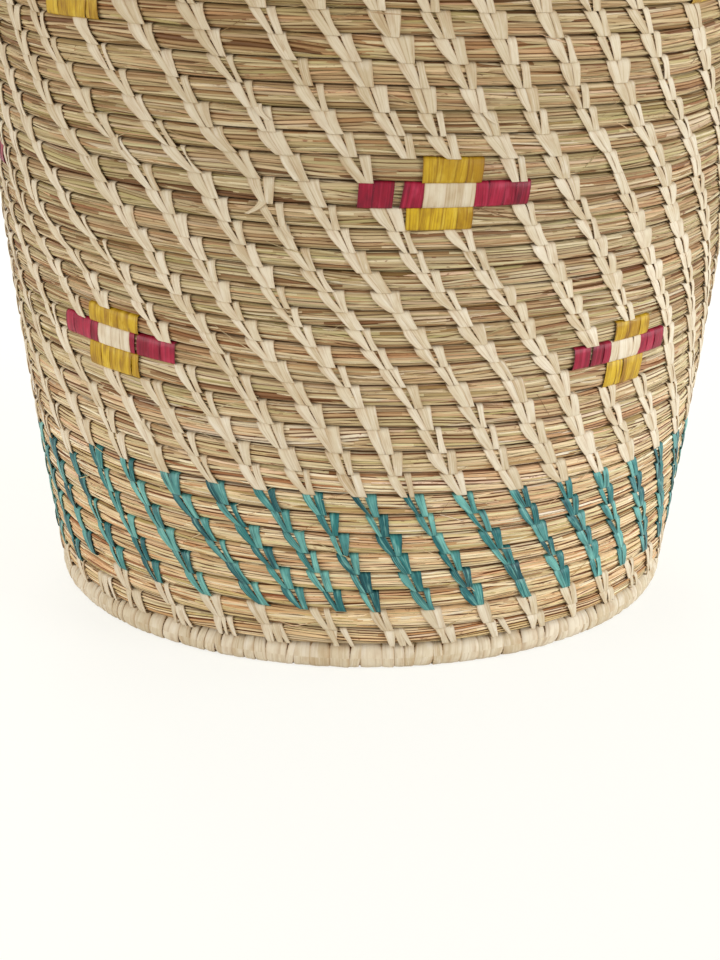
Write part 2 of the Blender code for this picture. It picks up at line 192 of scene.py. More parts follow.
# Handmade rows aren't equally high: how far the lower edge of some rows lies over its even place,
# in rows, behind and at the front, from the third of the angles on
DRIFT_ANGLES = (-180, -100, -50, -30, 0, 30, 50, 100, 180)
ROW_DRIFT = (
    (0, 0, (0, 0, 0, 0, 0)),
    (3, 0.05, (0.08, 0.06, 0.04, 0.15, 0.22)),
    (5, 0, (0.18, 0.05, -0.02, -0.06, 0.04)),
    (8, 0, (0.27, 0.08, 0.01, -0.08, -0.05)),
    (9, 0.05, (0.45, 0.32, 0.1, 0.0, 0.08)),
    (10, 0.1, (0.55, 0.33, 0.17, 0.12, 0.18)),
    (11, 0.2, (0.6, 0.44, 0.37, 0.22, 0.22)),
    (12, 0.2, (0.7, 0.52, 0.42, 0.3, 0.3)),
    (13, 0.3, (0.9, 0.67, 0.4, 0.5, 0.54)),
    (14, 0.3, (0.93, 0.7, 0.27, 0.5, 0.46)),
    (15, 0.2, (0.84, 0.58, 0.18, 0.4, 0.38)),
    (16, 0.2, (0.6, 0.36, 0.14, 0.28, 0.2)),
    (17, 0, (0.28, 0.13, -0.05, 0.1, 0.03)),
    (18, 0, (0.1, 0.0, -0.12, -0.06, -0.1)),
    (20, -0.1, (-0.15, -0.1, -0.28, -0.25, -0.33)),
    (22, -0.1, (-0.28, -0.16, -0.25, -0.3, -0.48)),
    (24, 0, (-0.15, -0.06, 0.04, -0.25, -0.4)),
    (26, 0, (-0.2, -0.02, 0.02, -0.18, -0.45)),
    (28, 0, (-0.16, 0.1, 0.18, -0.14, -0.42)),
    (30, 0, (0.0, 0.25, 0.36, 0.06, -0.2)),
    (34, 0, (0, 0, 0, 0, 0)),
)


def from_table(table, angles, row, angle):
    """The value of a table at these rows and angles. It changes evenly between its lines and
    angles, and the angles that a line doesn't name have its value behind."""
    rows = [line[0] for line in table]
    values = np.array([
        (behind, behind, *front) + (behind,) * (len(angles) - 2 - len(front))
        for _, behind, front in table
    ])
    angle = (angle + 180) % 360 - 180
    line = np.interp(row, rows, np.arange(len(rows)))
    place = np.interp(angle, angles, np.arange(len(angles)))
    below = np.minimum(line.astype(int), len(rows) - 2)
    left = np.minimum(place.astype(int), len(angles) - 2)
    line, place = line - below, place - left
    lower = values[below, left] * (1 - place) + values[below, left + 1] * place
    upper = values[below + 1, left] * (1 - place) + values[below + 1, left + 1] * place
    return lower * (1 - line) + upper * line


def row_drift(turn):
    """How far the cord's lower edge lies over its even place at this turn, in rows."""
    return from_table(ROW_DRIFT, DRIFT_ANGLES, turn - FRONT_SHARE, START_ANGLE - 360 * turn)


def row_edge(turn):
    """Height of the lower edge of the cord's layer at this turn."""
    return WALL_BASE + ROW_PITCH * (np.clip(turn, 1, ROWS + 1) - 1 + row_drift(turn))


def on_wall(turn, up, out):
    """Points on the wall's cord: up is the share of its half height, from -1 at its lower edge to 1,
    and out is in metres from the crest of the wall. The cord is thinner near both its ends."""
    low = row_edge(turn)
    high = row_edge(turn + 1)
    height = (low + high) / 2 + (high - low) / 2 * up
    return around(wall_radius(height) + out, START_ANGLE - 360 * turn, height)


FLOOR_TURNS = FLOOR_EDGE_RADIUS / ROW_PITCH


def on_floor(turn, up, out):
    """Points on the floor's spiral: up runs outwards from the basket's middle, and out is upwards
    from the cord's upper face. The last turn is thinned to end in a round edge."""
    edge = FLOOR_EDGE_RADIUS + ROW_PITCH / 2
    far = np.minimum(ROW_PITCH * (turn + 0.5), edge)
    near = np.clip(ROW_PITCH * (turn - 0.5), 0, edge)
    radius = (near + far) / 2 + (far - near) / 2 * up
    height = FLOOR_CENTRE_HEIGHT + CORD_RADIUS + out
    return around(radius, START_ANGLE - 360 * turn, height)


def random_draws(seed, *size):
    """A generator of random numbers, and a short way to draw as many between two values."""
    rng = np.random.default_rng(seed)
    return rng, partial(rng.uniform, size=size)


def drift(rng, steps, every, lanes=1):
    """Smooth random curves from -1 to 1: random knots, every few steps, joined by cosine ramps."""
    knots = rng.uniform(-1, 1, (steps // every + 3, lanes))
    place = np.arange(steps) / every
    whole = place.astype(int)
    ramp = ((1 - np.cos(math.pi * (place - whole))) / 2)[:, None]
    return knots[whole] * (1 - ramp) + knots[whole + 1] * ramp


def drifts(rng, steps, waves, lanes=1):
    """The sum of several such curves, each given by its steps and its reach."""
    return sum(drift(rng, steps, every, lanes) * reach for every, reach in waves)


# Meshes


def grain_map(along, across):
    """The texture places of a surface: metres along, and its number plus its share across."""
    return np.stack(np.broadcast_arrays(along, across), axis=-1)


def triple_products(a, b, c):
    """The sum of the triple products of these vectors, six times the volume under the faces."""
    return np.einsum("ij,ij->i", a, np.cross(b, c)).sum()


# Two faces that meet at more than this angle keep a sharp edge between them
SHARP_ANGLE = math.radians(50)


def new_object(name, data):
    """A new object of the scene that shows this mesh, lamp or camera."""
    made = bpy.data.objects.new(name, data)
    bpy.context.scene.collection.objects.link(made)
    return made


def add_shells(name, points, grain, material, slot, nodes, hollow=None):
    """A piece made of like closed shells, each a tube with a cap at both ends: points is (shells,
    stations, sides, 3). grain holds each point's texture place, with one more side that closes the
    tube. The last array, if given, tells for each point from 0 to 1 how deep it lies in a groove, and
    sets how much painted shade it gets there."""
    shells, stations, sides = points.shape[:3]
    corner = np.arange(shells * stations * sides).reshape(shells, stations, sides)
    following = np.roll(corner, -1, axis=2)
    quads = np.stack([corner[:, :-1], following[:, :-1], following[:, 1:], corner[:, 1:]], axis=-1)
    caps = np.stack([corner[:, 0, ::-1], corner[:, -1]], axis=1)
    near, far = grain[:, :-1], grain[:, 1:]
    quad_grain = np.stack([near[:, :, :-1], near[:, :, 1:], far[:, :, 1:], far[:, :, :-1]], axis=-2)
    cap_grain = np.stack([grain[:, 0, -2::-1], grain[:, -1, :-1]], axis=1)

    flat = points.reshape(-1, 3)
    a, b, c, d = (flat[quads[..., k]].reshape(-1, 3) for k in range(4))
    volume = triple_products(a, b, c) + triple_products(a, c, d)
    cap_points = flat[caps].reshape(-1, sides, 3)
    fans = np.cross(cap_points[:, 1:-1], cap_points[:, 2:])
    volume += (cap_points[:, :1] * fans).sum()
    if volume < 0:
        quads, caps = quads[..., ::-1], caps[..., ::-1]
        quad_grain, cap_grain = quad_grain[..., ::-1, :], cap_grain[..., ::-1, :]

    loops = np.concatenate([quads.reshape(-1), caps.reshape(-1)]).astype(np.int32)
    totals = np.concatenate([np.full(quads[..., 0].size, 4), np.full(caps[..., 0].size, sides)])
    starts = np.concatenate([[0], np.cumsum(totals)[:-1]]).astype(np.int32)
    mesh = bpy.data.meshes.new(name)
    mesh.vertices.add(len(flat))
    mesh.vertices.foreach_set("co", flat.astype(np.float32).reshape(-1))
    mesh.loops.add(len(loops))
    mesh.loops.foreach_set("vertex_index", loops)
    mesh.polygons.add(len(starts))
    mesh.polygons.foreach_set("loop_start", starts)
    mesh.update(calc_edges=True)
    places = np.concatenate([quad_grain.reshape(-1, 2), cap_grain.reshape(-1, 2)])
    if hollow is not None:
        depths = mesh.attributes.new("hollow", "FLOAT", "POINT")
        depths.data.foreach_set("value", hollow.astype(np.float32).reshape(-1))
    layer = mesh.uv_layers.new(name="grain")
    layer.uv.foreach_set("vector", places.astype(np.float32).reshape(-1))
    mesh.shade_smooth()
    mesh.set_sharp_from_angle(angle=SHARP_ANGLE)
    mesh.materials.append(material)
    piece = new_object(name, mesh)
    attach(piece, "root")
    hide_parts(*nodes)


# Straw cord: how square its outline is, the strands on its outer and its inner face, the steps in
# a turn, how far a strand bulges, and how far it lies in or out
SQUARENESS = 3.6
OUTER_STRANDS = 8
INNER_STRANDS = 7
CORD_STEPS = 120
STRAND_BULGE = 0.00030
STRAND_SHIFT = 0.00042
# Random curves along the cord, each with its steps and its reach: how far a strand's edges wander,
# in strands, how high it lies, and how far all strands roll round the cord, in half heights
WANDER = ((8, 0.32), (3, 0.10))
LIFT = ((9, 0.7), (4, 0.3))
ROLL = ((8, 0.60), (3, 0.06))
# The strands spread over the height as a sine does up to this angle
SPREAD_ANGLE = math.radians(80)
HIGHEST_UP = 0.985
# How sharply the painted shade in the grooves between rows gathers at the cord's edges
GROOVE_SHADE_BEND = 7
# A strand's face in bulges, at its middle and down to its edges, the share of its shift that its
# edges follow, and how its bulge fades towards the next row
STRAND_MIDDLE = 0.2
STRAND_EDGE = 2.6
EDGE_SHIFT_SHARE = 0.4
BULGE_FADE = (1.6, 1.4)


def cord_depth(up):
    """How far the cord's face lies below its crest, where its outline is a squared circle."""
    return CORD_RADIUS * (1 - np.maximum(1 - np.abs(up) ** SQUARENESS, 0) ** (1 / SQUARENESS))


def strand_lanes():
    """The points around a cord: each one's strand, its share across, and its place, which runs
    from -1 to 1 over the outer face and from 1 to 3 over the inner face."""
    faces = ((0, OUTER_STRANDS, (0, 0.25, 0.5, 0.75), -1), (OUTER_STRANDS, INNER_STRANDS, (0, 0.5), 1))
    return np.array([
        (first + strand, share, start + 2 * (strand + share) / strands)
        for first, strands, shares, start in faces for strand in range(strands) for share in shares
    ])


def straw_cord(turns, place, seed):
    """Surface of a cord of straws over these turns. Each strand is a low round ridge whose edges
    wander and whose height drifts. All of them roll to and fro, so the straws run at a slant."""
    rng = np.random.default_rng(seed)
    lanes = strand_lanes()
    strands = OUTER_STRANDS + INNER_STRANDS
    steps = len(turns)
    wander = drifts(rng, steps, WANDER, strands)
    lift = drifts(rng, steps, LIFT, strands)
    number = lanes[:, 0].astype(int)
    share = lanes[:, 1]
    span = np.where(number < OUTER_STRANDS, 2 / OUTER_STRANDS, 2 / INNER_STRANDS)
    next_strand = (number + 1) % strands
    edge_move = wander[:, number] * (1 - share) + wander[:, next_strand] * share
    roll = drifts(rng, steps, ROLL)
    around_place = (lanes[:, 2] + edge_move * span + roll + 1) % 4 - 1
    outer = around_place <= 1
    across = np.where(outer, around_place, 2 - around_place)
    up = HIGHEST_UP * np.sin(across * SPREAD_ANGLE) / math.sin(SPREAD_ANGLE)
    bulge = STRAND_BULGE * (STRAND_MIDDLE - (2 * share - 1) ** 2 * STRAND_EDGE)
    bulge = bulge + STRAND_SHIFT * lift[:, number] * np.where(share > 0, 1, EDGE_SHIFT_SHARE)
    bulge = bulge * np.clip(BULGE_FADE[0] - BULGE_FADE[1] * np.abs(up), 0, 1)
    depth = cord_depth(up)
    out = np.where(outer, -depth + bulge, -2 * CORD_RADIUS + depth - bulge)
    points = place(turns[:, None], up, out)
    lengths = np.linalg.norm(np.diff(points[:, 0], axis=0), axis=1)
    along = np.concatenate([[0], np.cumsum(lengths)])
    grain = grain_map(along[:, None], np.append(number + share, strands))
    # How deep each point lies in the groove between rows, which sets the painted shade there
    hollow = np.abs(up) ** GROOVE_SHADE_BEND
    return points, grain, hollow


def cord_turns(start, end):
    """The turns from start to end at which a cord has its points."""
    return np.arange(round(start * CORD_STEPS), round(end * CORD_STEPS) + 1) / CORD_STEPS


def add_wall_cord():
    """The whole cord, worked out in one piece and cut into its sections."""
    turns = cord_turns(CORD_START, CORD_END)
    points, grain, hollow = straw_cord(turns, on_wall, 11)
    sections = (
        ("straw_base", turns[0], BASE_END, "wall_coil_base"),
        ("straw_behind_teal", BASE_END, TEAL_END, "wall_coil_teal"),
        ("straw_middle", TEAL_END, MIDDLE_END, "wall_coil_middle"),
        ("straw_upper", MIDDLE_END, turns[-1], "wall_coil_upper"),
    )
    for name, first, last, node in sections:
        kept = (turns >= first - 1e-6) & (turns <= last + 1e-6)
        add_shells(name, points[None, kept], grain[None, kept], straw, "straw", [node], hollow[kept])


# Single straws: their lengths and half widths in metres, and how much they slant
LOOSE = {"length": (0.02, 0.10), "half_width": (0.00030, 0.00070), "slope": 0.34}
STRAY = {"length": (0.008, 0.024), "half_width": (0.00012, 0.00020), "slope": 1.8}
# How far over the cord their middles lie, how deep loose ones dip at the ends, and how low the
# ends of stray ones are
LOOSE_LIFT = (-0.00014, 0.00030)
STRAY_LIFT = (0.0003, 0.0011)
LOOSE_DIP = 0.0009
STRAY_DIP = 0.0003
# How far from the middle of the row they begin and may reach, and how much they wave
STRAW_UP = 0.93
HIGHEST_STRAW = 0.95
STRAW_WAVE = 0.06
STRAW_SIDES = np.array([(-1.0, -0.4), (-0.55, 0.75), (0.55, 0.75), (1.0, -0.4)])
STRAW_ACROSS = np.array([0.1, 0.35, 0.65, 0.9, 0.1])
STRAW_FLATNESS = 0.55
# The texture numbers of single straws start over those of the cord's strands
STRAW_NUMBERS = 40


def add_single_straws(name, count, seed, lowest, highest, node, kind=LOOSE):
    """Straws that lie on the cord at a small slant, and dip into it at both ends. Stray ones are
    short and thin, and arch a little off the wall, across the rows."""
    rng, draw = random_draws(seed, count, 1)
    stray = kind is STRAY
    stations = np.linspace(0, 1, 8)
    start = draw(lowest, highest)
    length = draw(*kind["length"])
    radius = np.linalg.norm(on_wall(start[:, 0], 0, 0)[:, :2], axis=1)[:, None]
    slope = rng.normal(0, kind["slope"], (count, 1))
    turn = start + length * stations / (2 * math.pi * radius)
    up = draw(-STRAW_UP, STRAW_UP) + slope * (stations - 0.5)
    up = up + STRAW_WAVE * np.sin(stations * 5 + draw(0, 6))
    up = up if stray else np.clip(up, -HIGHEST_STRAW, HIGHEST_STRAW)
    taper = 0.35 + 0.65 * np.sin(math.pi * np.clip(stations, 0.08, 0.92)) ** 0.4
    half_width = draw(*kind["half_width"]) * taper
    height = draw(*LOOSE_LIFT) - LOOSE_DIP * np.abs(2 * stations - 1) ** 7
    if stray:
        height = draw(*STRAY_LIFT) * np.sin(math.pi * stations) ** 0.5 - STRAY_DIP
    side_up = up[..., None] + STRAW_SIDES[:, 0] * half_width[..., None] / (ROW_PITCH / 2)
    out = height[..., None] + STRAW_SIDES[:, 1] * half_width[..., None] * STRAW_FLATNESS
    if not stray:
        out = out - cord_depth(np.clip(side_up, -1, 1)) * 0.9
    points = on_wall(turn[..., None], side_up, out)
    along = draw(0, 40) + length * stations
    number = STRAW_NUMBERS + np.arange(count)[:, None, None] + STRAW_ACROSS
    add_shells(name, points, grain_map(along[..., None], number), straw, "straw", [node])


# Stitches


def all_round(front, count):
    """The angles at the front, and more of them spread evenly behind until there are this many."""
    behind = count - len(front)
    shares = np.arange(1, behind + 1) / (behind + 1)
    rest = front[-1] + np.multiply.outer(shares, front[0] + 360 - front[-1])
    return np.concatenate([front, rest])


def column_angle(column, turn):
    """Angle of each column at this turn of a cord in even rows. Between the rows of the table it
    runs straight, and the added column comes last."""
    table = all_round(np.array([*COLUMN_ANGLES.values()]).T, STITCH_COLUMNS)
    table = np.concatenate([table, [ADDED_COLUMN]])
    knots = np.array([*COLUMN_ANGLES]) + FRONT_SHARE
    inside = np.clip(np.searchsorted(knots, turn) - 1, 0, len(knots) - 2)
    slope = (turn - knots[inside]) / (knots[inside + 1] - knots[inside])
    return table[column, inside] * (1 - slope) + table[column, inside + 1] * slope


def stitch_angle(column, turn):
    """Angle at which each column meets the lower edge of the cord's layer, as the rows really lie."""
    even_turn = turn + row_drift(turn)
    angle = column_angle(column, even_turn)
    return angle + from_table(COLUMN_SHIFTS, SHIFT_ANGLES, even_turn - FRONT_SHARE, angle) + STITCH_SHIFT


def stitch_places(first, last):
    """Turns and lower angles of the stitches between two turns, as flat arrays."""
    columns = np.arange(STITCH_COLUMNS + 1)
    column, layer = np.meshgrid(columns, np.arange(0, ROWS + 2), indexing="ij")
    turn = layer + 0.0
    for _ in range(5):
        angle = stitch_angle(column, turn)
        turn = layer + wound(angle)
    kept = (turn > first) & (turn <= last) & ((column < STITCH_COLUMNS) | (turn > ADDED_FROM))
    return column[kept], layer[kept], turn[kept], angle[kept]


def base_places():
    """The same for the two lowest rows, whose columns are fewer and hardly lean."""
    angles = all_round(np.array(BASE_FRONT_ANGLES), BASE_COLUMNS)
    column, layer = np.meshgrid(np.arange(BASE_COLUMNS), np.arange(1, 4), indexing="ij")
    turn = layer + wound(angles[column])
    for _ in range(3):
        angle = angles[column] + BASE_LEAN * (BASE_END + FRONT_SHARE - turn)
        turn = layer + wound(angle)
    kept = (turn > BASE_STITCH_START) & (turn <= BASE_END)
    return column[kept], layer[kept], turn[kept], angle[kept]


def cross_blocks():
    """Every block of the crosses: its cross, its number in it, colour, row, middle and both ends.
    A slit parts the block that it falls in."""
    for cross, (row, middle, cuts, slit, upper, lower) in enumerate(CROSSES):
        blocks = []
        for colour, start, end in zip(("magenta", "palm", "magenta"), cuts, cuts[1:]):
            ends = (start, *slit, end) if slit and start < slit[0] < end else (start, end)
            blocks += [(colour, row, *both) for both in zip(ends[::2], ends[1::2])]
        blocks += [("yellow", row + 1, *upper), ("yellow", row - 1, *lower)]
        for number, (colour, row_here, left, right) in enumerate(blocks):
            yield cross, number, colour, row_here, middle, left, right


def in_a_cross(turn, angle):
    """True where a stitch would lie under one of the crosses."""
    covered = np.zeros(turn.shape, bool)
    for *_, row, middle, left, right in cross_blocks():
        offset = (angle - middle + 180) % 360 - 180
        same_row = np.abs(turn - (row + wound(middle) % 1.0 - offset / 360)) < 0.5
        within = (offset > left - CROSS_MARGINS[0]) & (offset < right + CROSS_MARGINS[1])
        covered |= same_row & within
    return covered


# How far the stitches lie to the right of their column's line, and the share with a hanging end
STITCH_SHIFT = 0.5
BASE_LEAN = 2.1
LEAF_END_SHARE = 0.035

# A strip's way over a row: share of the half height, and height over the crest in millimetres
STITCH_WAY = np.array([
    (1.05, -2.4), (1.0, -0.7), (0.86, 0.12), (0.35, 0.62), (-0.3, 0.75),
    (-0.86, 0.78), (-1.07, 0.66), (-1.14, 0.05), (-1.12, -1.8),
])
LEAF_END_WAY = np.array([
    (-0.75, 0.1), (-0.90, 0.45), (-1.02, 0.75), (-1.15, 0.95), (-1.30, 1.05), (-1.48, 1.1),
    (-1.66, 1.2), (-1.84, 1.35), (-2.0, 1.6),
])
STRIP_THICKNESS = 0.00042
STRIP_SIDES = np.array([(-1.0, 0.0), (0.0, 0.22), (1.0, 0.0), (0.92, -1.0), (-0.92, -1.0)])
STRIP_ACROSS = np.array([0.02, 0.5, 0.98, 0.9, 0.1, 0.02])


def strips(layer, left, right, bends, extra, twist, way, place, sign, seed):
    """Strips laid over a row, one for each entry. left and right hold the angles of one edge at
    the top and at the bottom. In between, an edge moves by the share of the way gone, raised to its
    bend. The edges differ in height by the twist, and the side that faces out is slightly crowned.
    On the inner face the way is the same, measured inwards."""
    count = len(layer)
    up = way[:, 0]
    share = np.clip((up.max() - up) / (up.max() - up.min()), 0, 1)
    first, second = (
        top[:, None] + (bottom - top)[:, None] * share ** bend[:, None]
        for (top, bottom), bend in zip((left, right), bends)
    )
    across = (1 + STRIP_SIDES[:, 0]) / 2
    angle = first[..., None] * (1 - across) + second[..., None] * across
    height = way[:, 1] / 1000 + extra[:, None] * np.clip(1.1 - np.abs(up), 0.2, 1)
    out = height[..., None] + STRIP_SIDES[:, 1] * STRIP_THICKNESS
    out = out + twist[:, None, None] * STRIP_SIDES[:, 0] * np.clip(1.05 - np.abs(up), 0, 1)[:, None]
    turn = layer[:, None, None] + wound(angle)
    if sign < 0:
        out = -2 * CORD_RADIUS - out
    points = place(turn, up[:, None], out)
    gone = np.cumsum(np.abs(np.diff(up, prepend=up[0]))) * CORD_RADIUS
    along = np.random.default_rng(seed).uniform(0, 30, (count, 1)) + gone
    number = np.arange(count)[:, None, None] + STRIP_ACROSS
    return points, grain_map(along[..., None], number)


def joined(*groups):
    """Several sets of strips as one, with their numbers kept apart."""
    start = 0
    for points, grain in groups:
        grain[..., 1] += start
        start += len(points)
    return tuple(np.concatenate(part) for part in zip(*groups))


# The share of the stitches whose slit is closed, the middles of both legs at the top in degrees from
# the column's line, and how far they are spread, closed and open
CLOSED_SHARE = 0.16
LEFT_LEG = -0.85
RIGHT_LEG = 1.38
CLOSED_SPREAD = (0.4, 0.7)
OPEN_SPREAD = (0.85, 1.08)
# Widths of the stitches in degrees, each a least and a greatest value: half of either leg at the
# top, and how far either leg reaches from the middle at the bottom
PALM_WIDTHS = {
    "left": (0.62, 1.05), "right": (0.48, 1.20), "left_end": (0.70, 1.30), "right_end": (0.70, 1.20),
}
TEAL_WIDTHS = {
    "left": (0.40, 0.72), "right": (0.52, 1.15), "left_end": (0.50, 1.00), "right_end": (0.60, 1.15),
}


def split_stitches(layer, angle, lean, widths, place, sign, seed):
    """Both legs of each split stitch: one that leans and narrows downwards, and a steeper one over
    it that starts to the right of the stitch above. In some the slit between them is closed."""
    count = len(layer)
    rng, draw = random_draws(seed, count)
    top = angle - lean
    bottom = angle + rng.normal(0, 0.12, count)
    closed = rng.random(count) < CLOSED_SHARE
    spread = np.where(closed, draw(*CLOSED_SPREAD), draw(*OPEN_SPREAD))
    left_top = top + LEFT_LEG * spread + rng.normal(0, 0.18, count)
    right_top = top + RIGHT_LEG * spread + rng.normal(0, 0.15, count)
    left_half = draw(*widths["left"])
    right_half = draw(*widths["right"])
    left_end = draw(*widths["left_end"])
    right_end = draw(*widths["right_end"])
    left = strips(
        layer,
        (left_top - left_half, bottom - left_end),
        (left_top + left_half, bottom + draw(-0.35, 0.20)),
        (draw(1.1, 1.9), draw(0.8, 1.15)), draw(-0.0001, 0.0001), draw(-0.00025, 0.00025),
        STITCH_WAY, place, sign, seed + 1,
    )
    right = strips(
        layer,
        (right_top - right_half, bottom - draw(0.0, 0.45) * left_end),
        (right_top + right_half, bottom + right_end),
        (draw(0.7, 1.1), draw(1.0, 1.9)), draw(0.00010, 0.00022), draw(-0.00030, 0.00030),
        STITCH_WAY, place, sign, seed + 2,
    )
    return joined(left, right)


# Fans of the lowest stitches: the edges of each strip at the top, then at the bottom, in degrees
FAN_STRIPS = (
    ((-1.3, 0.3), (0.0, 0.75)),
    ((-0.2, 0.9), (0.9, 1.35)),
    ((0.3, 2.3), (1.9, 2.9)),
    ((1.3, 2.6), (3.2, 3.9)),
)
# The share of them that is there
FAN_SHARE = 0.85


def stitch_fans(layer, top, place, sign, seed):
    """The lowest stitches, which fan out into narrow tips where they dive behind the foot."""
    rng = np.random.default_rng(seed)
    made = []
    for order, ((start, end), (low_start, low_end)) in enumerate(FAN_STRIPS):
        kept = rng.random(len(layer)) < FAN_SHARE
        count = kept.sum()
        draw = partial(rng.uniform, size=count)
        here = top[kept] + rng.normal(0, 0.15, count)
        tip = here + rng.normal(0, 0.35, count)
        bend = draw(0.9, 1.3)
        made.append(strips(
            layer[kept], (here + start, tip + low_start), (here + end, tip + low_end), (bend, bend),
            draw(-0.0001, 0.0003), draw(-0.00025, 0.00025), STITCH_WAY, place, sign, seed + 3 * order,
        ))
    return joined(*made)


def leaf_ends(layer, angle, place, sign, seed):
    """Short ends of strips that come out under a stitch and hang over the row below."""
    count = len(layer)
    rng, draw = random_draws(seed, count)
    side = rng.choice([-1.0, 1.0], count)
    start = angle + side * draw(0.3, 0.8)
    end = start + side * draw(0.5, 2.6)
    half = draw(0.3, 0.7)
    bend = draw(1.5, 2.5)
    return strips(
        layer, (start - half, end - half * 0.5), (start + half, end + half * 0.7), (bend, bend),
        draw(-0.0002, 0.0004), draw(-0.0005, 0.0005), LEAF_END_WAY, place, sign, seed + 1,
    )


SIDES_OF_WALL = (("", 1), ("_inside", -1))


def add_stitches():
    """The stitches of each zone, on the outer and the inner face of the wall."""
    columns = [f"stitch_column_{number + 1:02d}" for number in range(STITCH_COLUMNS)]
    zones = (
        ("teal_stitches", BASE_END, TEAL_END, teal, "teal", ["wall_coil_teal"], TEAL_WIDTHS, 21),
        ("palm_stitches_middle", TEAL_END, MIDDLE_END, palm, "palm", columns, PALM_WIDTHS, 22),
        ("palm_stitches_upper", MIDDLE_END, CORD_END, palm, "palm", columns, PALM_WIDTHS, 23),
    )
    for name, first, last, material, slot, nodes, widths, seed in zones:
        places = stitch_places(first, last)
        kept = ~in_a_cross(*places[2:])
        column, layer, turn, angle = (values[kept] for values in places)
        lean = angle - stitch_angle(column, turn + 1)
        ends = np.random.default_rng(seed).random(len(layer)) < LEAF_END_SHARE
        for side, sign in SIDES_OF_WALL:
            made = [split_stitches(layer, angle, lean, widths, on_wall, sign, seed * 10 + sign)]
            if slot == "palm":
                made.append(leaf_ends(layer[ends], angle[ends], on_wall, sign, seed * 10 + sign + 5))
            add_shells(name + side, *joined(*made), material, slot, nodes)
    column, layer, turn, angle = base_places()
    lowest = turn < BASE_END - 1
    upper = ~lowest
    for side, sign in SIDES_OF_WALL:
        made = split_stitches(
            layer[upper], angle[upper], BASE_LEAN, PALM_WIDTHS, on_wall, sign, 240 + sign,
        )
        fans = stitch_fans(layer[lowest], angle[lowest] - BASE_LEAN, on_wall, sign, 250 + sign)
        add_shells("palm_stitches_base" + side, *joined(made, fans), palm, "palm", ["wall_coil_base"])


# Crosses

CROSS_WAY = np.array([
    (1.06, -2.2), (1.02, -0.3), (0.88, 0.40), (0.4, 0.78), (-0.2, 0.90),
    (-0.8, 0.74), (-1.0, 0.45), (-1.08, -0.3), (-1.08, -2.0),
])


def block(row, middle, left, right, seed, sign):
    """A block of strips wound side by side over one row, between two angles."""
    count = max(1, round((right - left) / CROSS_STRIP_ANGLE))
    rng, draw = random_draws(seed, count)
    between = np.arange(1, count) + rng.uniform(-0.3, 0.3, count - 1)
    cuts = np.concatenate([[0], between, [count]]) / count
    cuts = middle + left + (right - left) * cuts
    layer = np.full(count, row + wound(middle) % 1.0 - wound(middle))
    slant = rng.normal(-0.12, 0.10, count)
    start, end = cuts[:-1] - 0.04, cuts[1:] + 0.04
    return strips(
        layer, (start - slant, start + slant), (end - slant, end + slant),
        (draw(0.7, 1.4), draw(0.7, 1.4)), draw(-0.00016, 0.00020), draw(-0.00028, 0.00028),
        CROSS_WAY, on_wall, sign, seed + 5,
    )


def add_crosses():
    """The crosses, gathered by colour, with their backs on the inner face of the wall."""
    groups = {"magenta": [], "palm": [], "yellow": []}
    for cross, number, colour, row, middle, left, right in cross_blocks():
        ring, place = divmod(cross, 4)
        node = f"cross_{RINGS_OF_CROSSES[ring]}_{place + 1}"
        for sign in (1, -1):
            strip_block = block(row, middle, left, right, 500 + 10 * cross + number, sign)
            groups[colour].append((node, strip_block))
    for colour, material in (("magenta", magenta), ("palm", palm), ("yellow", yellow)):
        points, grain = joined(*(strip_block for _, strip_block in groups[colour]))
        slot = "palm" if colour == "palm" else "magenta"
        nodes = sorted({node for node, _ in groups[colour]})
        add_shells(f"cross_strips_{colour}", points, grain, material, slot, nodes)


# Wrapped foot and rim: mean width of a wrap, how deep the core lies under the wraps, and the heights
# under which the core and the wraps of the foot are cut flat
WRAP_WIDTH = 0.0054
CORE_DEPTH = 0.0008
FOOT_CORE_CUT = 0.0006
FOOT_WRAP_CUT = 0.0001
NO_CUT = -1.0
# How the wraps' widths vary, how much of its own width each takes, and the slant's mean and spread
WRAP_SPREAD = (0.45, 1.6)
WRAP_LAP = (0.99, 1.09)
WRAP_SLANT = (0.10, 0.28)
WRAP_STATIONS = 25
# Where round the ring the wraps are pinched, in degrees, and by what share at most
PINCH_PLACE = 80
PINCH_REACH = 26
PINCH_SHARE = 0.6
CORE_SIDES = 16
CORE_STEPS = 120
# A wrap's section: places across, and heights in thicknesses. Its face has low creases lengthwise
WRAP_SIDES = np.array([
    (-1.0, -0.85), (-0.84, -0.12), (-0.4, 0.06), (-0.1, 0.12), (0.2, 0.06), (0.5, 0.12),
    (0.84, -0.12), (1.0, -0.85), (0.96, -1.4), (-0.96, -1.4),
])
WRAP_ACROSS = np.array([0.02, 0.14, 0.30, 0.45, 0.60, 0.75, 0.89, 0.98, 0.9, 0.1, 0.02])


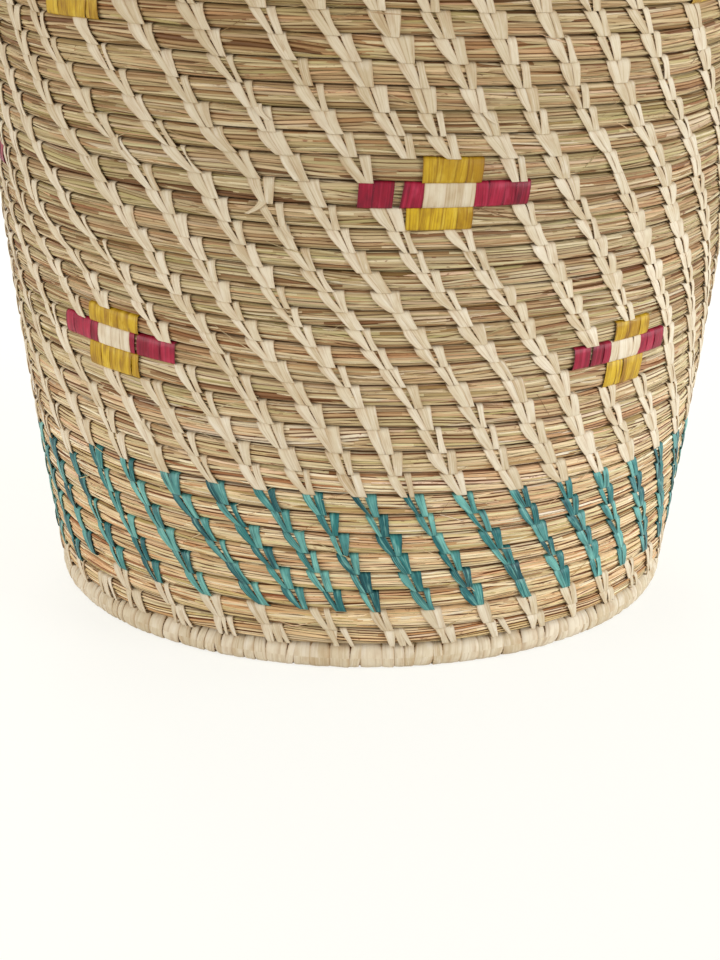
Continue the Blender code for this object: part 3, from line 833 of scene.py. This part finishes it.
def wrapped_ring(name, centre_radius, centre_height, radius, node, seed, cut=NO_CUT):
    """Palm strips wound side by side round a ring, each one a closed band a little askew. It is
    pinched at the top of its outer side, where it dives between the ring and the cord, and laps
    over its neighbour elsewhere."""
    count = round(2 * math.pi * centre_radius / WRAP_WIDTH)
    rng, draw = random_draws(seed, count, 1)
    widths = draw(*WRAP_SPREAD)[:, 0]
    ends = np.cumsum(widths) / widths.sum() * 360
    shares = widths / widths.sum()
    centre = ends - shares * 180
    width = shares * 360 * rng.uniform(*WRAP_LAP, count)
    stations = np.linspace(0, 360, WRAP_STATIONS)
    slant = rng.normal(*WRAP_SLANT, count)
    swing = np.sin(np.radians(stations))
    middle = centre[:, None] + slant[:, None] * swing
    bump = np.exp(-((stations - PINCH_PLACE) / PINCH_REACH) ** 2)
    pinch = 1 - draw(0.0, PINCH_SHARE) ** 1.5 * bump
    half = width[:, None] / 2 * pinch
    ripple = 0.00006 * np.sin(np.radians(stations * 2) + draw(0, 6))
    height = draw(0, 0.00016) + ripple
    tilt = draw(-0.00010, 0.00022)
    angle = middle[..., None] + half[..., None] * WRAP_SIDES[:, 0]
    crease = rng.normal(0, 0.00005, (count, 1, len(WRAP_SIDES))) * (np.abs(WRAP_SIDES[:, 0]) < 0.9)
    lift = height[..., None] + WRAP_SIDES[:, 1] * STRIP_THICKNESS + crease
    reach = radius + lift + tilt[..., None] * WRAP_SIDES[:, 0]
    turned = np.radians(stations)[:, None]
    heights = centre_height + reach * np.sin(turned)
    heights = np.maximum(heights, cut + (reach - reach.min()) * 0.2)
    points = around(centre_radius + reach * np.cos(turned), angle, heights)
    along = draw(0, 30) + radius * np.radians(stations)
    number = np.arange(count)[:, None, None] + WRAP_ACROSS
    add_shells(name, points, grain_map(along[..., None], number), palm, "palm", [node])


def ring_core(name, centre_radius, centre_height, radius, node, cut=NO_CUT):
    """The plain straw core of a wrapped ring, which shows in the gaps."""
    turned = np.radians(np.linspace(0, 360, CORE_SIDES + 1)[:-1])
    angle = np.linspace(0, 360, CORE_STEPS + 1)
    heights = np.maximum(centre_height + radius * np.sin(turned), cut)
    points = around(centre_radius + radius * np.cos(turned), angle[:, None], heights)
    grain = grain_map(np.radians(angle)[:, None] * centre_radius, np.arange(CORE_SIDES + 1) * 1.0)
    add_shells(name, points[None], grain[None], straw, "straw", [node])


# Floor

FLOOR_START = 0.3
FLOOR_END = FLOOR_TURNS + 0.9
# Columns of stitches on the floor, how far each turns from row to row in degrees, and the turns
# that they are sewn on
FLOOR_COLUMNS = 26
FLOOR_LEAN = 9.0
FLOOR_STITCH_START = 3
FLOOR_STITCH_END = FLOOR_TURNS + 0.4
# Half widths of its stitches at the top and at the bottom and their slant, in degrees at the radius
# where they are as many degrees wide as those of the wall
FLOOR_TOP_HALF = (0.7, 1.1)
FLOOR_BOTTOM_HALF = (0.6, 0.95)
FLOOR_SLANT = 2.0
STITCH_RADIUS = 0.15


def add_floor():
    """The floor's spiral cord, and its stitches above and below."""
    points, grain, hollow = straw_cord(cord_turns(FLOOR_START, FLOOR_END), on_floor, 12)
    add_shells("straw_floor", points[None], grain[None], straw, "straw", ["floor_coil"], hollow)
    rows = np.arange(1, int(FLOOR_TURNS) + 2)
    arm, layer = np.meshgrid(np.arange(FLOOR_COLUMNS), rows, indexing="ij")
    angle = START_ANGLE + 360.0 * arm / FLOOR_COLUMNS - FLOOR_LEAN * layer
    turn = layer + wound(angle)
    wraps = np.floor(turn - layer)
    turn, layer = turn - wraps, layer - wraps
    kept = (turn > FLOOR_STITCH_START) & (turn < FLOOR_STITCH_END)
    layer, turn, angle = layer[kept], turn[kept], angle[kept]
    widen = STITCH_RADIUS / (ROW_PITCH * turn)
    for side, sign in (("", 1), ("_under", -1)):
        rng, draw = random_draws(31 + sign, len(layer))
        middle = angle + rng.normal(0, 0.5, len(layer))
        top_half = draw(*FLOOR_TOP_HALF) * widen
        bottom_half = draw(*FLOOR_BOTTOM_HALF) * widen
        top = middle - FLOOR_SLANT * widen
        shells = strips(
            layer, (top - top_half, middle - bottom_half), (top + top_half, middle + bottom_half),
            (draw(0.8, 1.4), draw(0.8, 1.4)), draw(0, 0.0002), draw(-0.0002, 0.0002),
            STITCH_WAY, on_floor, sign, 33 + sign,
        )
        add_shells("palm_stitches_floor" + side, *shells, palm, "palm", ["floor_coil"])


# Materials


def tone(value):
    """A colour as the shader takes it, from a grey between 0 and 1, from three screen values
    between 0 and 255, or from four values that stay as they are."""
    if isinstance(value, (int, float)):
        return (value, value, value, 1.0)
    if len(value) == 4:
        return value
    share = np.array(value) / 255
    values = np.where(share <= 0.04045, share / 12.92, ((share + 0.055) / 1.055) ** 2.4)
    return (*values.tolist(), 1.0)


# Tints of straw and of palm by height in metres. The straw's tone changes with height, and both
# grow darker towards the top as painted shade for the light that falls off there
STRAW_TINTS_AND_SHADE = (
    (0.03, (1.0, 0.94, 0.83)), (0.09, (0.98, 0.97, 0.94)), (0.13, (0.95, 0.96, 0.99)),
    (0.17, (0.91, 0.93, 0.97)), (0.20, (0.87, 0.88, 0.91)), (0.25, (0.83, 0.81, 0.78)),
    (0.29, (0.71, 0.66, 0.59)),
)
PALM_SHADE_BY_HEIGHT = ((0.15, (1.0, 1.0, 1.0)), (0.21, (0.89, 0.885, 0.87)), (0.28, (0.83, 0.80, 0.745)))
TINT_REACH = 0.4


class Nodes:
    """Short ways to add and join the nodes of a material or of the world."""

    def __init__(self, owner):
        owner.use_nodes = True
        self.tree = owner.node_tree

    def node(self, kind, *values, **settings):
        """A node with these settings, and with these values at its first sockets."""
        made = self.tree.nodes.new(kind)
        for key, value in settings.items():
            setattr(made, key, value)
        for value, socket in zip(values, made.inputs):
            self.join(value, socket)
        return made

    def join(self, value, socket):
        """Sets the socket to a number or a colour, or links another node's output to it."""
        if isinstance(value, (int, float, tuple)):
            socket.default_value = tone(value) if isinstance(value, tuple) else value
        else:
            self.tree.links.new(value, socket)

    def math(self, operation, first, second=0.0):
        return self.node("ShaderNodeMath", first, second, operation=operation).outputs[0]

    def times(self, first, second):
        return self.math("MULTIPLY", first, second)

    def vector(self, *places):
        return self.node("ShaderNodeCombineXYZ", *places).outputs[0]

    def split(self, vector):
        return self.node("ShaderNodeSeparateXYZ", vector).outputs

    def random(self, *places):
        """A random value that changes with each place."""
        return self.node("ShaderNodeTexWhiteNoise", self.vector(*places)).outputs["Value"]

    def noise(self, along, across, pattern):
        """Noise of a pattern, which says how often it changes along and across, and its detail."""
        often_along, often_across, detail = pattern
        stretched = self.vector(self.times(along, often_along), self.times(across, often_across))
        made = self.node("ShaderNodeTexNoise", stretched)
        made.inputs["Scale"].default_value = 1.0
        made.inputs["Detail"].default_value = detail
        return made.outputs["Fac"]

    def ramp(self, value, stops):
        """Tones by value, each at its own place, with even steps in between."""
        made = self.node("ShaderNodeValToRGB", value)
        elements = made.color_ramp.elements
        while len(elements) < len(stops):
            elements.new(0.5)
        for element, (place, colour) in zip(elements, stops):
            element.position = place
            element.color = tone(colour)
        return made.outputs["Color"]

    def mask(self, value, start, end, low=0, high=1):
        """A grey that goes from low to high between two places of the value."""
        return self.ramp(value, ((start, low), (end, high)))

    def mix(self, share, first, second, blend="MIX"):
        made = self.node("ShaderNodeMix", data_type="RGBA", blend_type=blend)
        for value, number in ((share, 0), (first, 6), (second, 7)):
            self.join(value, made.inputs[number])
        return made.outputs[2]

    def background_rays(self):
        """1 for the rays that see the background: the camera's, and those of gloss and glass."""
        rays = self.node("ShaderNodeLightPath").outputs
        seen = self.math("MAXIMUM", rays["Is Camera Ray"], rays["Is Glossy Ray"])
        return self.math("MAXIMUM", seen, rays["Is Transmission Ray"])


class Finish(Nodes):
    """A material and its shader."""

    def __init__(self, name, roughness):
        self.material = bpy.data.materials.new(name)
        super().__init__(self.material)
        self.put("Roughness", roughness)

    def put(self, name, value):
        """Gives a value to one of the shader's own sockets."""
        self.join(value, self.tree.nodes["Principled BSDF"].inputs[name])

    def height_share(self):
        """The height over the ground as a share of the tints' reach."""
        place = self.node("ShaderNodeTexCoord").outputs["Object"]
        return self.math("DIVIDE", self.split(place)["Z"], TINT_REACH)

    def grain(self):
        """Metres along, whole number and share across, from the piece's own map."""
        split = self.split(self.node("ShaderNodeUVMap", uv_map="grain").outputs["UV"])
        lane = split["Y"]
        return split["X"], self.math("FLOOR", lane), self.math("FRACT", lane)

    def off_middle(self, share):
        """How far a place lies off the middle of its straw or strip: 0 there, and 1 at the edges."""
        return self.math("ABSOLUTE", self.math("SUBTRACT", self.times(share, 2.0), 1.0))

    def complete(self, colour, tints, relief, strength, distance):
        """The colour times a tint that depends on the height, which holds painted shade towards the top,
        with the relief as its bump.
        """
        stops = tuple((height / TINT_REACH, (*values, 1.0)) for height, values in tints)
        tinted = self.mix(1.0, colour, self.ramp(self.height_share(), stops), "MULTIPLY")
        self.put("Base Color", tinted)
        self.put("Specular IOR Level", SPECULAR_LEVEL)
        bump = self.node("ShaderNodeBump", strength, distance)
        self.join(relief, bump.inputs["Height"])
        self.put("Normal", bump.outputs["Normal"])
        return self.material


SPECULAR_LEVEL = 0.3

# Tones of single straws, near the foot, where they have bleached, and higher up
BLEACHED_STRAW = (
    (0.00, (150, 98, 60)), (0.05, (204, 170, 126)), (0.20, (238, 216, 178)), (0.40, (220, 202, 162)),
    (0.58, (250, 238, 210)), (0.76, (230, 211, 174)), (0.90, (206, 184, 142)), (1.00, (252, 246, 230)),
)
PLAIN_STRAW = (
    (0.00, (118, 80, 46)), (0.08, (172, 136, 92)), (0.22, (214, 192, 150)), (0.38, (190, 170, 124)),
    (0.56, (228, 210, 170)), (0.74, (200, 178, 134)), (0.88, (170, 142, 98)), (1.00, (232, 216, 184)),
)
REDDER = (244, 216, 202)
GREENER = (228, 230, 202)
FIBRE_SHADE = (0.50, 0.41, 0.32, 1)
FLECK_BROWN = (134, 76, 48)
# Painted shade: the dark brown of the gaps between straws and of the grooves between rows
GAP_SHADE = (104, 56, 24)
GROOVE_SHADE = (70, 36, 14)
# Patterns of noise: changes in a metre along, changes from one straw or strip to the next, detail
STRAW_PARTS = (4.2, 0.30, 2.0)
STRAW_FIBRES = (26.0, 3.6, 3.0)
STRAW_FLECKS = (420.0, 2.2, 2.0)
FLECK_BUNCHES = (22.0, 0.5, 2.0)
STRAW_GAPS = (30.0, 1.0, 3.0)
CORD_GROOVES = (17.0, 1.0, 3.0)
LEAF_CLOUDS = (120.0, 1.8, 3.0)
LEAF_LINES = (30.0, 8.0, 4.0)
# How many straws follow each other in a metre
STRAWS_IN_A_METRE = 13.0


def straw_finish():
    """Dry grass. Each straw has its own tone, with fine lines lengthwise, brown flecks, and greener
    and redder parts. The gaps between two straws and the grooves between two rows get painted
    shade in places, more so near the foot."""
    finish = Finish("dry_grass", 0.55)
    mix, mask, noise, times = finish.mix, finish.mask, finish.noise, finish.times
    along, number, share = finish.grain()
    offset = times(finish.random(number, 3.7), 9.0)
    piece = finish.math("FLOOR", finish.math("ADD", times(along, STRAWS_IN_A_METRE), offset))
    own = finish.random(number, piece, 1.0)
    height = finish.height_share()
    risen = mask(height, 0.20, 0.32)
    colour = mix(risen, finish.ramp(own, BLEACHED_STRAW), finish.ramp(own, PLAIN_STRAW))
    parts = noise(along, number, STRAW_PARTS)
    colour = mix(mask(parts, 0.50, 0.66), colour, REDDER, "MULTIPLY")
    colour = mix(mask(parts, 0.34, 0.48, 1, 0), colour, GREENER, "MULTIPLY")
    lane = finish.math("ADD", times(number, 7.3), share)
    fibres = noise(along, lane, STRAW_FIBRES)
    shade = finish.ramp(fibres, ((0.34, FIBRE_SHADE), (0.50, 1)))
    colour = mix(0.8, colour, shade, "MULTIPLY")
    spots = mask(noise(along, lane, STRAW_FLECKS), 0.58, 0.66)
    bunches = mask(noise(along, number, FLECK_BUNCHES), 0.54, 0.66, 0.04, 0.8)
    colour = mix(times(spots, bunches), colour, FLECK_BROWN)

    # Painted shade in the gaps between straws and in the grooves between rows, stronger near the foot
    depth = mask(height, 0.22, 0.34, 1, 0.72)
    gap_shade = mask(noise(along, lane, STRAW_GAPS), 0.34, 0.64, 0.10, 0.62)
    edge = finish.math("SUBTRACT", finish.off_middle(share), 1.0)
    gap_shade = times(finish.math("ADD", edge, times(gap_shade, depth)), 7.0)
    gap_shade = finish.math("MINIMUM", finish.math("MAXIMUM", gap_shade, 0.0), 0.95)
    colour = mix(times(gap_shade, depth), colour, GAP_SHADE)
    # Painted shade in the grooves between rows, ragged along them
    groove = finish.node("ShaderNodeAttribute", attribute_name="hollow").outputs["Fac"]
    ragged = mask(noise(along, number, CORD_GROOVES), 0.38, 0.58, 0.25, 0.95)
    groove = times(groove, times(ragged, depth))
    colour = mix(groove, colour, GROOVE_SHADE)
    return finish.complete(colour, STRAW_TINTS_AND_SHADE, fibres, 0.5, 0.0003)


def leaf_finish(name, tones, stain_and_edge_shade, line_tint, gloss, roughness, wear):
    """A strip of palm leaf with its own tone: stained clouds, fine dark and light lines lengthwise, and
    darker edges that are partly stained and partly painted contact shadow. The wear tells how strong
    they are."""
    finish = Finish(name, roughness)
    mix, mask, noise, times = finish.mix, finish.mask, finish.noise, finish.times
    along, number, share = finish.grain()
    colour = finish.ramp(finish.random(number, 5.1), tones)
    lane = finish.math("ADD", times(number, 3.1), share)
    cloud = noise(along, lane, LEAF_CLOUDS)
    colour = mix(times(mask(cloud, 0.50, 0.74), wear), colour, stain_and_edge_shade)
    colour = mix(times(mask(cloud, 0.30, 0.46, 1, 0), 0.6), colour, gloss)
    lines = noise(along, lane, LEAF_LINES)
    shade = finish.ramp(lines, ((0.34, line_tint), (0.48, 1)))
    colour = mix(wear, colour, shade, "MULTIPLY")
    colour = mix(times(mask(lines, 0.56, 0.70), 0.5), colour, gloss)
    # The edges darken in the stained tone: partly the leaf's own stained edges, partly painted contact
    # shadow
    edge = finish.math("POWER", finish.off_middle(share), 7.0)
    colour = mix(times(edge, 0.8), colour, stain_and_edge_shade)
    return finish.complete(colour, PALM_SHADE_BY_HEIGHT, lines, 0.4, 0.0002)


straw = straw_finish()
palm = leaf_finish("palm_leaf", (
    (0.0, (199, 181, 149)), (0.35, (213, 199, 171)), (0.7, (221, 208, 184)), (1.0, (203, 187, 156)),
), (168, 128, 82), (0.66, 0.54, 0.40, 1), (227, 217, 200), 0.5, 0.45)
teal = leaf_finish("teal_leaf", (
    (0.0, (10, 74, 80)), (0.35, (44, 120, 118)), (0.7, (112, 176, 166)), (1.0, (26, 100, 104)),
), (8, 48, 56), (0.26, 0.38, 0.42, 1), (144, 202, 190), 0.45, 0.8)
magenta = leaf_finish("magenta_leaf", (
    (0.0, (124, 4, 32)), (0.5, (146, 10, 44)), (1.0, (166, 26, 58)),
), (84, 6, 30), (0.45, 0.35, 0.40, 1), (186, 56, 84), 0.42, 0.7)
yellow = leaf_finish("yellow_leaf", (
    (0.0, (178, 138, 14)), (0.5, (206, 170, 30)), (1.0, (166, 124, 10)),
), (128, 82, 10), (0.58, 0.46, 0.28, 1), (226, 198, 78), 0.45, 0.8)

add_wall_cord()
for sort, *facts in (
    ("loose_straws_base", 1000, 40, 1.0, TEAL_END, "wall_coil_teal"),
    ("loose_straws_middle", 1500, 41, TEAL_END, MIDDLE_END, "wall_coil_middle"),
    ("loose_straws_upper", 1600, 43, MIDDLE_END, ROWS - 0.2, "wall_coil_upper"),
    ("stray_straws_low", 120, 44, 1.2, TEAL_END, "wall_coil_teal", STRAY),
    ("stray_straws_high", 300, 45, TEAL_END, ROWS - 0.8, "wall_coil_middle", STRAY),
):
    add_single_straws(sort, *facts)
add_stitches()
add_crosses()
foot = (FOOT_CENTRE_RADIUS, FOOT_CENTRE_HEIGHT)
ring_core("foot_core", *foot, FOOT_CORD_RADIUS - CORE_DEPTH, "foot_coil", FOOT_CORE_CUT)
wrapped_ring("foot_wraps", *foot, FOOT_CORD_RADIUS, "foot_coil", 51, FOOT_WRAP_CUT)
rim = (RIM_CENTRE_RADIUS, RIM_CENTRE_HEIGHT - SEAT_GAP)
ring_core("rim_core", *rim, RIM_CORD_RADIUS - CORE_DEPTH, "rim_coil")
wrapped_ring("rim_wraps", *rim, RIM_CORD_RADIUS, "rim_coil", 52)
add_floor()


# Studio

GROUND_REACH = 6.0
# How much of the ground's and the background's own white a ray of the camera sees, and the light
# that the background gives
GROUND_GLOW = 0.79
BACKGROUND_LIGHT = 0.56
# Lamps: place, the height that they aim at, size, power and colour
LAMPS = {
    "key": ((2.75, -1.55, 1.0), 0.12, 1.8, 58, (0.98, 0.985, 1.0)),
    "fill": ((-2.85, -1.5, 0.7), 0.12, 2.0, 51, (1.0, 0.98, 0.95)),
    "side": ((3.0, 0.35, 0.8), 0.15, 1.6, 24, (0.82, 0.93, 1.0)),
    "back": ((-0.5, 2.9, 1.0), 0.15, 2.0, 40, (1.0, 0.99, 0.97)),
}


def add_ground():
    """A pale floor. As the camera sees it, it is mostly white of its own and partly lit, so that it
    keeps the basket's shadow. All other rays meet a plain pale floor."""
    corners = np.array([(-1, -1, 0), (1, -1, 0), (1, 1, 0), (-1, 1, 0)]) * GROUND_REACH
    mesh = bpy.data.meshes.new("ground")
    mesh.from_pydata(corners, [], [(0, 1, 2, 3)])
    finish = Finish("ground", 0.9)
    seen = finish.background_rays()
    finish.put("Base Color", finish.mix(seen, (246, 245, 240), (0.22, 0.22, 0.21, 1.0)))
    finish.put("Emission Color", (1.0, 0.99, 0.94, 1.0))
    finish.put("Emission Strength", finish.times(seen, GROUND_GLOW))
    mesh.materials.append(finish.material)
    new_object("ground", mesh)


def add_lamp(name, place, aim_height, size, power, colour):
    """A round lamp that faces a point over the middle of the floor."""
    lamp = bpy.data.lights.new(name, "AREA")
    lamp.shape = "DISK"
    lamp.size = size
    lamp.energy = power
    lamp.color = colour
    holder = new_object(name, lamp)
    holder.location = place
    x, y, z = np.array((0, 0, aim_height)) - np.array(place)
    pitch = math.acos(-z / math.sqrt(x * x + y * y + z * z))
    holder.rotation_euler = (pitch, 0, math.atan2(-x, y))


def add_studio():
    """The ground, the lamps, and a world that is white as the camera sees it."""
    add_ground()
    for name, facts in LAMPS.items():
        add_lamp(name, *facts)
    world = bpy.data.worlds.new("studio")
    bpy.context.scene.world = world
    nodes = Nodes(world)
    light = nodes.times(nodes.background_rays(), 1 - BACKGROUND_LIGHT)
    background = nodes.tree.nodes["Background"].inputs
    background["Color"].default_value = (1.0, 0.995, 0.975, 1.0)
    nodes.join(nodes.math("ADD", light, BACKGROUND_LIGHT), background["Strength"])


# The photograph's camera: its place in metres, its angles in radians, its lens in millimetres
CAMERA_PLACE = (0.0, -1.06845, 0.41225)
CAMERA_YAW = 0.0007
CAMERA_PITCH = 0.3405
CAMERA_ROLL = 0.0077
CAMERA_LENS = 96.0
CAMERA_SENSOR = 36.0


def add_camera():
    """The photograph's camera, found by fitting the rows, the outline and the foot."""
    lens = bpy.data.cameras.new("camera")
    lens.lens = CAMERA_LENS
    lens.sensor_width = CAMERA_SENSOR
    camera = new_object("camera", lens)
    aim = Matrix.Rotation(CAMERA_YAW, 4, "Z") @ Matrix.Rotation(math.pi / 2 - CAMERA_PITCH, 4, "X")
    camera.matrix_world = Matrix.Translation(CAMERA_PLACE) @ aim @ Matrix.Rotation(CAMERA_ROLL, 4, "Z")
    bpy.context.scene.camera = camera


add_studio()
add_camera()
bpy.context.scene.view_settings.view_transform = "Standard"
